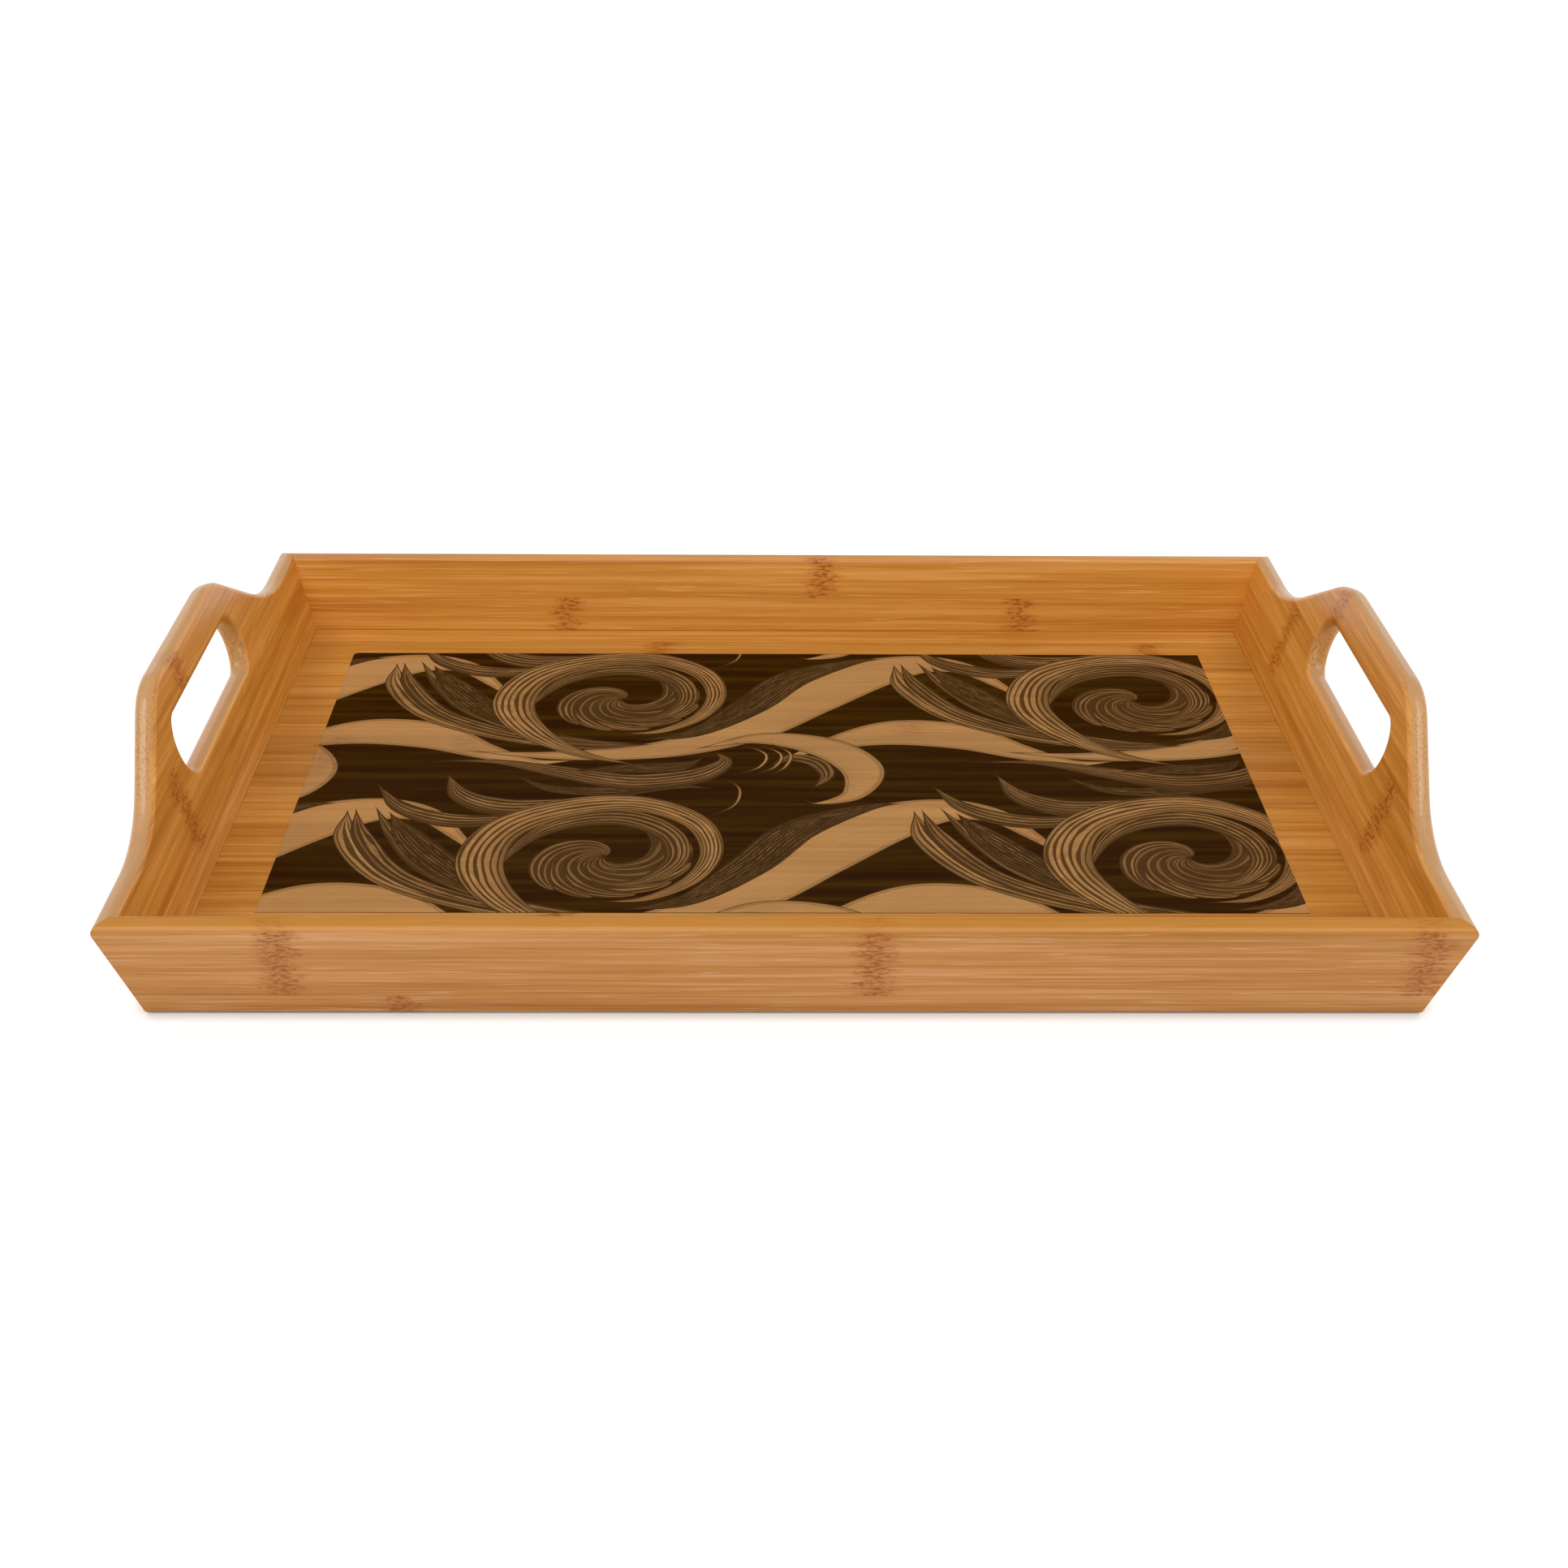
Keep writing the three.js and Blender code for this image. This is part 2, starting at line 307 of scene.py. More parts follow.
bamboo = {
    "pale": (207, 142, 66),
    "middle": (191, 125, 44),
    "deep": (173, 105, 28),
    "thread": (222, 166, 96),  # thin pale lines between the fibres
    "fibre": (146, 80, 10),  # dark vascular bundles: streaks on a face, dots on end grain
    "knuckle": (142, 70, 6),
    "knuckleGround": (180, 104, 30),
    "endGrain": (204, 154, 94),
    "bandsPerMetre": (3.5, 95, 95),  # along the grain, across it and through it
    "streaksPerMetre": (6, 390, 390),
    "threadsPerMetre": (8, 520, 520),
    "fibresPerMetre": (26, 1500, 1500),
    "raggedPerMetre": (30, 520, 520),
    "dashesPerMetre": (360, 1100, 1100),
    "shares": (0.50, 0.50, 0.15),  # of the bands, streaks and fibres in how pale the wood is
    "stops": (0.45, 0.575, 0.70),  # the levels at which it is deep, middle and pale
    "threadLine": (0.50, 0.004, 0.028, 0.36),  # the noise level it follows, its core and edge, and strength
    "furrowLine": (0.39, 0.003, 0.022, 0.26),
    "bundles": (0.58, 0.72, 0.30),  # the fibre levels between which they darken, and how much
    "knuckleHalf": 9 * mm,
    "ragged": 22 * mm,  # how far a knuckle's edge wanders
    "knuckleWarmth": 0.55,
    "dashes": (0.45, 0.58, 0.78),
    "cutAcross": (0.25, 0.55, 0.75),  # slopes along the wall between which end grain shows, and how much
    "dots": (0.50, 0.60, 0.55),
    # painted sheen: a face turned up the slope between these takes the painted light of a top edge
    "facingUp": (0.35, 0.80),  # slopes between which a face counts as a top edge
    "relief": 0.03 * mm,
    "reliefStrength": 0.35,
    "roughness": 0.34,
    "specular": 0.12,
    "coat": 0.25,
    "coatRoughness": 0.15,
}


def bambooGrain(shader, grainwise, seed, knuckles, tone=1.0):
    # The colour of bamboo at a point (along, across, through) the grain: soft bands, streaks, thin pale
    # threads and fine fibres, all drawn out along the grain, with a ragged patch of short dark dashes at each
    # knuckle.
    shifted = shader.vector("ADD", grainwise, seed)
    bands = shader.noise(shader.vector("MULTIPLY", shifted, bamboo["bandsPerMetre"]), 3)
    streaks = shader.noise(shader.vector("MULTIPLY", shifted, bamboo["streaksPerMetre"]), 3, 0.65)
    threads = shader.noise(shader.vector("MULTIPLY", shifted, bamboo["threadsPerMetre"]), 1)
    fibres = shader.noise(shader.vector("MULTIPLY", shifted, bamboo["fibresPerMetre"]), 2, 0.6)
    ofBands, ofStreaks, ofFibres = bamboo["shares"]
    level = shader.math("MULTIPLY_ADD", bands, ofBands, shader.times(streaks, ofStreaks))
    level = shader.math("MULTIPLY_ADD", fibres, ofFibres, level)
    ramp = shader.node("ShaderNodeValToRGB", {"Fac": level})
    stops = ramp.color_ramp.elements
    stops[0].position, middle, stops[1].position = bamboo["stops"]
    stops.new(middle)
    for stop, shade in zip(stops, ("deep", "middle", "pale")):
        stop.color = toned(bamboo[shade], tone)
    colour = ramp.outputs["Color"]
    for kind, shade in (("threadLine", "thread"), ("furrowLine", "fibre")):
        follows, core, edge, strength = bamboo[kind]
        line = shader.near(threads, follows, core, edge, strength)
        colour = shader.blend(line, colour, toned(bamboo[shade], tone))
    bundles = shader.shown(fibres, *bamboo["bundles"])
    colour = shader.blend(bundles, colour, toned(bamboo["fibre"], tone))
    if not knuckles:
        return colour, fibres

    parts = shader.parted(grainwise)
    ragged = shader.noise(shader.vector("MULTIPLY", shifted, bamboo["raggedPerMetre"]), 3)
    wander = bamboo["ragged"]
    along = shader.math("MULTIPLY_ADD", ragged, wander, shader.math("SUBTRACT", parts[0], wander / 2))
    patch = None
    for place, low, high in knuckles:
        distance = shader.math("ABSOLUTE", shader.math("SUBTRACT", along, place))
        spot = shader.ease(distance, 0.1 * bamboo["knuckleHalf"], bamboo["knuckleHalf"], 1.0, 0.0)
        for edge, inside in ((low, 1.0), (high, -1.0)):
            if edge is not None:
                within = shader.math("GREATER_THAN", shader.times(parts[1], inside), edge * inside)
                spot = shader.times(spot, within)
        patch = spot if patch is None else shader.math("MAXIMUM", patch, spot)
    dashes = shader.noise(shader.vector("MULTIPLY", shifted, bamboo["dashesPerMetre"]), 2, 0.6)
    low, high, strength = bamboo["dashes"]
    dark = shader.times(shader.ease(dashes, low, high), shader.times(patch, strength))
    warm = shader.times(patch, bamboo["knuckleWarmth"])
    colour = shader.blend(warm, colour, toned(bamboo["knuckleGround"], tone))
    colour = shader.blend(dark, colour, toned(bamboo["knuckle"], tone))
    return colour, shader.math("SUBTRACT", fibres, dark)


def routedEdges(shader, colour, fibres, onWallNormal, top):
    # Where a router has cut across the grain the bundles show as dots in golden wood. Faces that look up the
    # slope, the level top edges most, go some way to a colour of their own: painted light, a pale painted sheen
    # standing in for the light they reflect.
    along, up, _ = shader.parted(onWallNormal)
    across = shader.shown(shader.math("ABSOLUTE", along), *bamboo["cutAcross"])
    dots = shader.shown(fibres, *bamboo["dots"])
    end = shader.blend(dots, linear(*bamboo["endGrain"]), linear(*bamboo["fibre"]))
    # painted light: faces looking up the slope blend towards the top colour, a painted sheen for the light they
    # reflect
    topLightColour, strength = top
    colour = shader.blend(shader.ease(up, *bamboo["facingUp"], 0.0, strength), colour, linear(*topLightColour))
    return shader.blend(across, colour, end)


def lacquer(shader, colour, height):
    # Satin lacquer: a soft base under a thin glossier coat, with the fibres just felt through it
    surface = shader.surface
    shader.tree.links.new(colour, surface.inputs["Base Color"])
    surface.inputs["Roughness"].default_value = bamboo["roughness"]
    surface.inputs["Specular IOR Level"].default_value = bamboo["specular"]
    surface.inputs["Coat Weight"].default_value = bamboo["coat"]
    surface.inputs["Coat Roughness"].default_value = bamboo["coatRoughness"]
    inputs = {"Strength": bamboo["reliefStrength"], "Distance": bamboo["relief"], "Height": height}
    bump = shader.node("ShaderNodeBump", inputs)
    shader.tree.links.new(bump.outputs[0], surface.inputs["Normal"])
    return shader.material


# of each wall round the tray, from its front
halfTurns = {"front_rail": 0.0, "right_end_wall": 0.5, "rear_rail": 1.0, "left_end_wall": 1.5}


def wallTurn(wallName):
    return halfTurns[wallName] * math.pi


def wallDepth(wallName):
    # From the tray's middle to the wall's outer edge at the base
    return halfWidth if wallName.endswith("rail") else halfLength


def wallBamboo(name, wallName, seed, places, tone, top):
    # Object coordinates turned into a wall's own: along it, up its slope and out through it. A knuckle at each of
    # the places along it, in millimetres, runs the whole height of the strip.
    tilt = Matrix.Rotation(-math.pi / 2 - flare, 3, "X")
    turn = tilt @ Matrix.Rotation(-wallTurn(wallName), 3, "Z")
    shift = tilt @ Vector((0, wallDepth(wallName), 0))
    shader = Shader(name)
    objectPlace = shader.node("ShaderNodeTexCoord").outputs["Object"]
    inputs = {"Vector": objectPlace, "Rotation": turn.to_euler("XYZ"), "Location": shift}
    onWall = shader.node("ShaderNodeMapping", inputs).outputs[0]
    knuckles = [(place * mm, None, None) for place in places]
    colour, fibres = bambooGrain(shader, onWall, seed, knuckles, tone)
    facing = shader.node("ShaderNodeTexCoord").outputs["Normal"]
    inputs = {"Vector": facing, "Rotation": turn.to_euler("XYZ")}
    onWallNormal = shader.node("ShaderNodeMapping", inputs, vector_type="VECTOR").outputs[0]
    # top holds the colour and strength of the painted sheen on faces that look up the slope
    return lacquer(shader, routedEdges(shader, colour, fibres, onWallNormal, top), fibres)


# Surfaces: grids of points, worked out as whole arrays
def addPiece(name, points, faces, material, replaced):
    # A mesh of its own for a CAD node, which it takes the place of
    mesh = bpy.data.meshes.new(name)
    mesh.from_pydata(points.tolist(), [], faces)
    return finishPiece(name, mesh, material, replaced)


def finishPiece(name, mesh, material, replaced):
    # Shading, finish and place in the frame
    mesh.shade_smooth()
    mesh.set_sharp_from_angle(angle=joinery["sharp"])
    mesh.materials.append(material)
    piece = bpy.data.objects.new(name, mesh)
    bpy.context.scene.collection.objects.link(piece)
    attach(piece, "root")
    if replaced:
        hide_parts(replaced)
    return piece


def gridFaces(rows, columns, wrapRows):
    # Quads of a grid of points whose columns close on themselves, and whose rows do too if wrapRows
    row = np.arange(rows if wrapRows else rows - 1)[:, None]
    column = np.arange(columns)[None, :]
    nextRow = (row + 1) % rows
    nextColumn = (column + 1) % columns
    corners = (row * columns + column, nextRow * columns + column,
               nextRow * columns + nextColumn, row * columns + nextColumn)
    return np.stack(np.broadcast_arrays(*corners), -1).reshape(-1, 4).tolist()


def closedBar(grid):
    # A grid of closed sections, one per row, with the first and last section capped
    rows, columns = grid.shape[:2]
    faces = gridFaces(rows, columns, False)
    faces.append(list(range(columns)))
    faces.append(list(range((rows - 1) * columns, rows * columns))[::-1])
    return grid.reshape(-1, 3), faces


def outward(points, faces):
    # Turned the other way if the enclosed volume comes out negative: each face is a fan of triangles from its
    # first corner, and each triangle with the origin makes a tetrahedron whose volume has a sign.
    quads = np.array([face for face in faces if len(face) == 4])
    a, b, c, d = (points[quads[:, corner]] for corner in range(4))
    volume = (a * (np.cross(b, c) + np.cross(c, d))).sum()
    for cap in (points[face] for face in faces if len(face) != 4):
        volume += (cap[0] * np.cross(cap[1:-1], cap[2:])).sum()
    return faces if volume > 0 else [face[::-1] for face in faces]


def onWallPlace(wallName, along, up, out):
    # A point of a wall (along it, up its slope, out through it) in the tray's frame: the slope leans outwards
    # by the flare, out is square to it, and the whole is turned about the tray's axis to the wall's side.
    x = along
    y = -wallDepth(wallName) - up * lean - out * rise
    z = up * rise - out * lean
    turn = wallTurn(wallName)
    return np.stack((x * math.cos(turn) - y * math.sin(turn), x * math.sin(turn) + y * math.cos(turn), z), -1)


def mitreReach(wallName, up, out):
    # How far a wall reaches either way along itself before its mitre, at a height up the slope and a depth
    span = halfLength if wallName.endswith("rail") else halfWidth
    return span + up * lean + out * rise


def arcPoints(centre, radius, start, end, steps):
    # Points at one distance from the centre, at even angles from start to end
    angle = np.linspace(start, end, steps)
    return np.stack((centre[0] + radius * np.cos(angle), centre[1] + radius * np.sin(angle)), -1)


def edgeProfile(radius, steps=9):
    # Across a board's thickness: how far its edge falls back from the outline, and at what depth. A quarter
    # round at the outer corner and another at the inner one.
    angle = np.linspace(0, math.pi / 2, steps)
    fallOuter = radius * (1 - np.sin(angle))
    depthOuter = -radius * (1 - np.cos(angle))
    fallInner = radius * (1 - np.cos(angle))
    depthInner = -(wall - radius) - radius * np.sin(angle)
    return np.concatenate((fallOuter, fallInner)), np.concatenate((depthOuter, depthInner))


def groovePoints(wallName):
    # The groove's four corners on a wall's section: two where it leaves the inner face, and two deep ones
    edge = (panelHigh.x if wallName.endswith("wall") else panelHigh.y) + joinery["groovePlay"]
    deep = edge - wallDepth(wallName)
    high = panelHigh.z + joinery["grooveSlack"]
    low = panelLow.z - joinery["grooveSlack"]
    mouthHigh = ((high - wall * lean) / rise, -wall)
    mouthLow = ((low - wall * lean) / rise, -wall)
    deepHigh = (deep * lean + high * rise, deep * rise - high * lean)
    deepLow = (deep * lean + low * rise, deep * rise - low * lean)
    return np.array((mouthHigh, deepHigh, deepLow, mouthLow))


def footSection(wallName, seam):
    # A wall's lowest strip as (up, out) points: from the level base round its outer corner, up the outer face
    # to the seam, and down the inner face past the groove
    radius = joinery["baseRound"]
    tangent = radius * math.tan((math.pi / 2 - flare) / 2)
    corner = arcPoints((-radius, tangent), radius, flare - math.pi / 2, 0, 7)[:, ::-1]
    top = seam - joinery["seamGap"] / 2
    outer = ((tangent + joinery["support"], 0.0), (top, 0.0), (top, -wall))
    return np.vstack((corner, outer, groovePoints(wallName), ((-wall * lean / rise, -wall),)))


def capSection(seam, crest):
    # A wall's upper strip as (up, out) points: from the seam up the outer face, over the edge and down the
    # inner face
    bottom = seam + joinery["seamGap"] / 2
    fall, depth = edgeProfile(joinery["topRound"])
    edge = np.stack((crest - fall, depth), -1)
    below = crest - joinery["topRound"] - joinery["support"]
    return np.vstack((((bottom, 0.0), (below, 0.0)), edge, ((below, -wall), (bottom, -wall))))


def straightStrip(wallName, place, section, material):
    # A section carried from mitre to mitre: each of its points goes the same share of its own reach
    up, out = section.T
    share = np.array((-1.0, -0.5, 0.5, 1.0))[:, None]
    along = mitreReach(wallName, up, out) * share
    points, faces = closedBar(onWallPlace(wallName, *np.broadcast_arrays(along, up, out)))
    node = f"{wallName}_{place}_strip"
    return addPiece(f"{node}_wood", points, outward(points, faces), material, node)


# Rails. Knuckles are millimetres along the wall, for its lower and its upper strip.
rails = {
    "front_rail": {
        "seam": frontSeam,
        # each strip's own tone, with painted light and shade for how its wall is lit; the raised blue is a
        # painted reflection of the white table in the front face
        "tones": ((0.86, 0.92, 1.55), (0.90, 0.96, 1.6)),  # of the lower and the upper strip
        # painted light: the colour the level top edge goes to stands in for the light it reflects
        "top": ((200, 134, 50), 0.7),  # the colour its level top edge goes to, and how far
        "knuckles": ((-126,), (-164, 28.5, 207.5)),
    },
    "rear_rail": {
        "seam": rearSeam,
        # each strip's own tone, with painted light for how brightly the rear wall's inner face is lit
        "tones": (1.12, (1.22, 1.24, 1.3)),
        # painted sheen: the pale colour the level top edge goes to stands in for the light it reflects
        "top": ((196, 152, 106), 0.6),
        "knuckles": ((93, -108), (-20,)),
    },
}


def buildRail(wallName, settings, number):
    # Two strips, each with a grain of its own
    sections = (footSection(wallName, settings["seam"]), capSection(settings["seam"], railTop))
    for layer, place in enumerate(("lower", "upper")):
        seed = (1.7 * number + 0.9 * layer, 0.31 * number + 0.17 * layer, 0.2)
        name = f"bamboo_{wallName}_{place}"
        # the tone holds painted light and shade as well as the strip's own tone
        places, tone = settings["knuckles"][layer], settings["tones"][layer]
        material = wallBamboo(name, wallName, seed, places, tone, settings["top"])
        straightStrip(wallName, place, sections[layer], material)


for number, (wallName, settings) in enumerate(rails.items()):
    buildRail(wallName, settings, number)
print("rails: two strips each")


# End walls
handle = {
    "flat": 101.5 * mm,  # width of the grip's top where its straight slopes would meet it
    "slope": math.radians(29),
    "shoulder": 45 * mm,  # radius of the bend between the grip's top and the slope
    "hollow": 90 * mm,  # radius of the bend between the slope and the low shoulder
    "slotLength": 108 * mm,
    "slotHeight": 21.5 * mm,
    "rowGap": 1.6 * mm,  # between the rows of points along the foot and the grip
    # degrees round the slot's end at which the rows from the foot's end, the mitre's top and the hollow's
    # start land
    "fan": (-62, -52, -42),
    "acrossFace": (0.02, 0.2, 0.4, 0.6, 0.8, 0.98),  # where rows cross a face, from the slot to the outline
    # each strip's own tone, raised as painted light so the end walls look as brightly lit as the rest
    "tones": (1.42, 1.50, 1.48),
    # painted sheen: the pale colour the grip's top and the slot's lower face go to stands in for the light they
    # reflect
    "top": ((198, 156, 112), 0.8),
    "knuckles": {
        "left_end_wall": ((), (73,), (25,)),
        "right_end_wall": ((), (88, -76), (44,)),
    },
}


def halfOutline(wallName):
    # Round an end wall's right half as (along, up) stretches: along the foot, up the mitre, the low shoulder,
    # a concave arc, the straight slope, a convex arc and the level grip back to the middle.
    slope = handle["slope"]
    tangent = math.tan(slope / 2)
    run = (gripTop - railTop) / math.tan(slope)
    hollowStart = handle["flat"] / 2 + run + handle["hollow"] * tangent
    gripEnd = handle["flat"] / 2 - handle["shoulder"] * tangent
    foot = endSeam + joinery["seamGap"] / 2
    footEnd = mitreReach(wallName, foot, 0)
    shoulderEnd = mitreReach(wallName, railTop, 0)
    bottom = np.linspace((0, foot), (footEnd, foot), int(footEnd / handle["rowGap"]))
    heights = np.linspace(foot, railTop - joinery["topRound"] - 1 * mm, 8)[1:]  # stops short of the roundover
    mitre = np.stack((mitreReach(wallName, heights, 0), heights), -1)
    down = -math.pi / 2
    hollow = arcPoints((hollowStart, railTop + handle["hollow"]), handle["hollow"], down, down - slope, 32)
    bend = handle["shoulder"]
    shoulder = arcPoints((gripEnd, gripTop - bend), bend, -down - slope, -down, 20)
    low = np.linspace((shoulderEnd, railTop), hollow[0], 20)[:-1]
    straight = np.linspace(hollow[-1], shoulder[0], 16)[1:-1]
    level = np.linspace(shoulder[-1], (0, gripTop), int(gripEnd / handle["rowGap"]))[1:]
    return bottom, mitre, low, hollow, straight, shoulder, level


def fanAngles(path, starts, half):
    # Where each row meets the slot, as an angle round the slot's end. From the foot to the end of the hollow
    # the fan is spread by the distance gone, so that no row passes over the low shoulder; after that rows run
    # straight out.
    straightOut = np.arctan2(path[:, 1] - slotSeam, np.maximum(path[:, 0] - half, 0))
    gone = np.concatenate(((0,), np.cumsum(np.linalg.norm(np.diff(path, axis=0), axis=1))))
    slopeRow = starts["straight"]
    slotRow = np.searchsorted(path[:starts["mitre"], 0], half)
    rows = [slotRow, starts["mitre"], starts["low"], starts["hollow"], slopeRow]
    angles = np.interp(gone, gone[rows], (-math.pi / 2, *np.radians(handle["fan"]), straightOut[slopeRow]))
    return np.where((gone < gone[rows[0]]) | (gone > gone[slopeRow]), straightOut, angles)


def endWallGrid(wallName):
    # The wall above its foot as a ring round the hand slot. Each row is one closed section: the outer face
    # from the slot's rim to the outline's rim, over the outline's edge, back along the inner face, and
    # through the slot.
    fall, depth = edgeProfile(joinery["topRound"])
    stretches = halfOutline(wallName)
    path = np.vstack(stretches)
    names = ("bottom", "mitre", "low", "hollow", "straight", "shoulder", "level")
    starts = dict(zip(names, np.cumsum([0] + [len(stretch) for stretch in stretches]).tolist()))
    rounded = (np.arange(len(path)) >= starts["low"])[:, None]
    heading = np.gradient(path[starts["low"]:], axis=0)
    heading /= np.linalg.norm(heading, axis=1, keepdims=True)
    inward = np.zeros_like(path)
    inward[starts["low"]:] = np.stack((-heading[:, 1], heading[:, 0]), -1)

    along = path[:, :1] + inward[:, :1] * fall
    up = path[:, 1:] + inward[:, 1:] * fall
    out = np.broadcast_to(depth, up.shape)
    # on the low shoulder, the foot and the mitre a point keeps its share of the way to the mitre at its own
    # depth
    free = np.where(rounded, path[starts["hollow"], 0], 0.0)
    share = (path[:, :1] - free) / (mitreReach(wallName, path[:, 1:], 0) - free)
    along = np.where(path[:, :1] > free, free + share * (mitreReach(wallName, up, out) - free), along)

    radius = handle["slotHeight"] / 2
    half = handle["slotLength"] / 2 - radius
    angle = fanAngles(path, starts, half)[:, None]
    slotAlong = np.clip(path[:, :1], 0, half) + np.cos(angle) * (radius + fall[::-1])
    slotUp = slotSeam + np.sin(angle) * (radius + fall[::-1])
    edge = np.stack((along, up, out), -1)
    slot = np.stack((slotAlong, slotUp, np.broadcast_to(depth[::-1], slotUp.shape)), -1)
    share = np.array(handle["acrossFace"])[None, :, None]
    outerFace = slot[:, -1:] * (1 - share) + edge[:, :1] * share
    innerFace = edge[:, -1:] * (1 - share) + slot[:, :1] * share
    rightHalf = np.concatenate((outerFace, edge, innerFace, slot), 1)
    ring = np.concatenate((rightHalf, rightHalf[-2:0:-1] * (-1, 1, 1)))
    return onWallPlace(wallName, ring[..., 0], ring[..., 1], ring[..., 2])


def saw(work, point, normal, keepBeyond):
    # A mesh cut through at a plane, with what lies beyond it kept or dropped, and the cut closed
    everything = work.verts[:] + work.edges[:] + work.faces[:]
    cut = bmesh.ops.bisect_plane(
        work, geom=everything, plane_co=point, plane_no=normal,
        clear_inner=keepBeyond, clear_outer=not keepBeyond)
    rims = [item for item in cut["geom_cut"] if isinstance(item, bmesh.types.BMEdge)]
    bmesh.ops.holes_fill(work, edges=rims, sides=0)


def cutAtSlot(wallName, mesh, keepUpper):
    # The ring sawn along the middle of its slot, leaving half a glue line
    offset = joinery["seamGap"] / 2 * (1 if keepUpper else -1)
    origin = onWallPlace(wallName, 0.0, slotSeam + offset, 0.0)
    upward = onWallPlace(wallName, 0.0, 1.0, 0.0) - onWallPlace(wallName, 0.0, 0.0, 0.0)
    work = bmesh.new()
    work.from_mesh(mesh)
    saw(work, origin, upward, keepUpper)
    half = bpy.data.meshes.new(mesh.name + ("_upper" if keepUpper else "_lower"))
    work.to_mesh(half)
    work.free()
    return half


def buildEndWall(wallName, number):
    # A plain foot strip, and the ring round the hand slot sawn into a middle strip and a grip
    knuckles = handle["knuckles"][wallName]
    materials = []
    for layer, place in enumerate(("lower", "middle", "grip")):
        seed = (2.3 + 1.9 * number + 0.8 * layer, 0.4 + 0.23 * number + 0.13 * layer, 0.5)
        name = f"bamboo_{wallName}_{place}"
        # the tone holds painted light as well as the strip's own tone
        tone = handle["tones"][layer]
        materials.append(wallBamboo(name, wallName, seed, knuckles[layer], tone, handle["top"]))
    straightStrip(wallName, "lower", footSection(wallName, endSeam), materials[0])
    grid = endWallGrid(wallName)
    rows, columns = grid.shape[:2]
    points = grid.reshape(-1, 3)
    ring = bpy.data.meshes.new(f"{wallName}_ring")
    ring.from_pydata(points.tolist(), [], outward(points, gridFaces(rows, columns, True)))
    for layer, place, keepUpper in ((1, "middle", False), (2, "grip", True)):
        node = f"{wallName}_{place}_strip"
        half = cutAtSlot(wallName, ring, keepUpper)
        finishPiece(f"{node}_wood", half, materials[layer], node)
    bpy.data.meshes.remove(ring)


for number, wallName in enumerate(handle["knuckles"]):
    buildEndWall(wallName, number)
print("end walls: foot, middle and grip strips each, with their hand slots")


# Floor panel
panel = {
    "strips": 10,
    "rearStrip": panelHigh.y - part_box("floor_strip_01")[0].y,
    "ease": 0.05 * mm,  # softened edge of a strip
    "hold": 6,  # as many eases from an eased corner stands the row that keeps the face flat
    "toneSpread": 0.16,  # between the lightest strip and the darkest
    "shift": (0.73, 0.37),  # of the grain from one strip to the next, along and across it
    "start": (7.0, 3.0, 1.0),
    # each one's x and y in millimetres
    "knuckles": ((-51, 132), (162, 134), (53, 57), (-178, 18), (-125, 18), (92, -29.5), (-79, -96)),
}


def floorGrain(shader):
    # Bamboo along X, with each strip of the panel a piece of its own: the strip's number, counted from the
    # rear, shifts the pattern along the grain and changes its tone a little.
    pitch = (panelHigh.y - panelLow.y - panel["rearStrip"]) / (panel["strips"] - 1)
    place = shader.node("ShaderNodeTexCoord").outputs["Object"]
    parts = shader.parted(place)
    fromFirst = shader.math("SUBTRACT", panelHigh.y - panel["rearStrip"] + pitch, parts[1])
    strip = shader.math("FLOOR", shader.math("DIVIDE", fromFirst, pitch))
    alongShift, acrossShift = (shader.times(strip, shift) for shift in panel["shift"])
    offset = shader.joined(alongShift, acrossShift)
    seed = shader.vector("ADD", offset, panel["start"])
    knuckles = []
    for x, y in panel["knuckles"]:
        number = math.floor((panelHigh.y - panel["rearStrip"] + pitch - y * mm) / pitch)
        high = panelHigh.y - panel["rearStrip"] - (number - 1) * pitch
        knuckles.append((x * mm, high - pitch, high))
    colour, height = bambooGrain(shader, place, seed, knuckles)
    chance = shader.node("ShaderNodeTexWhiteNoise", {"W": strip}, noise_dimensions="1D").outputs["Value"]
    spread = panel["toneSpread"]
    tone = shader.math("MULTIPLY_ADD", chance, spread, 1 - spread / 2)
    grey = shader.joined(tone, tone, tone)
    return shader.blend(1.0, colour, grey, "MULTIPLY"), height


def easedSection(low, high, ease):
    # A rectangle in (y, z) with its corners eased by a small quarter round, each held by a point close to
    # either side of it so that the faces shade flat
    corners = ((high.y - ease, high.z - ease, 0), (low.y + ease, high.z - ease, 1),
               (low.y + ease, low.z + ease, 2), (high.y - ease, low.z + ease, 3))
    section = []
    for y, z, quarter in corners:
        start, end = quarter * math.pi / 2, (quarter + 1) * math.pi / 2
        arc = arcPoints((y, z), ease, start, end, 3)
        before = arc[0] + panel["hold"] * ease * np.array((math.sin(start), -math.cos(start)))
        after = arc[-1] + panel["hold"] * ease * np.array((-math.sin(end), math.cos(end)))
        section += [before, *arc, after]
    return np.array(section)


def barAlongX(name, low, high, ease, material, node):
    # An eased rectangle carried along X
    section = easedSection(low, high, ease)
    ends = np.array((low.x, low.x / 2, high.x / 2, high.x))[:, None]
    points, faces = closedBar(np.stack(np.broadcast_arrays(ends, *section.T), -1))
    return addPiece(name, points, outward(points, faces), material, node)


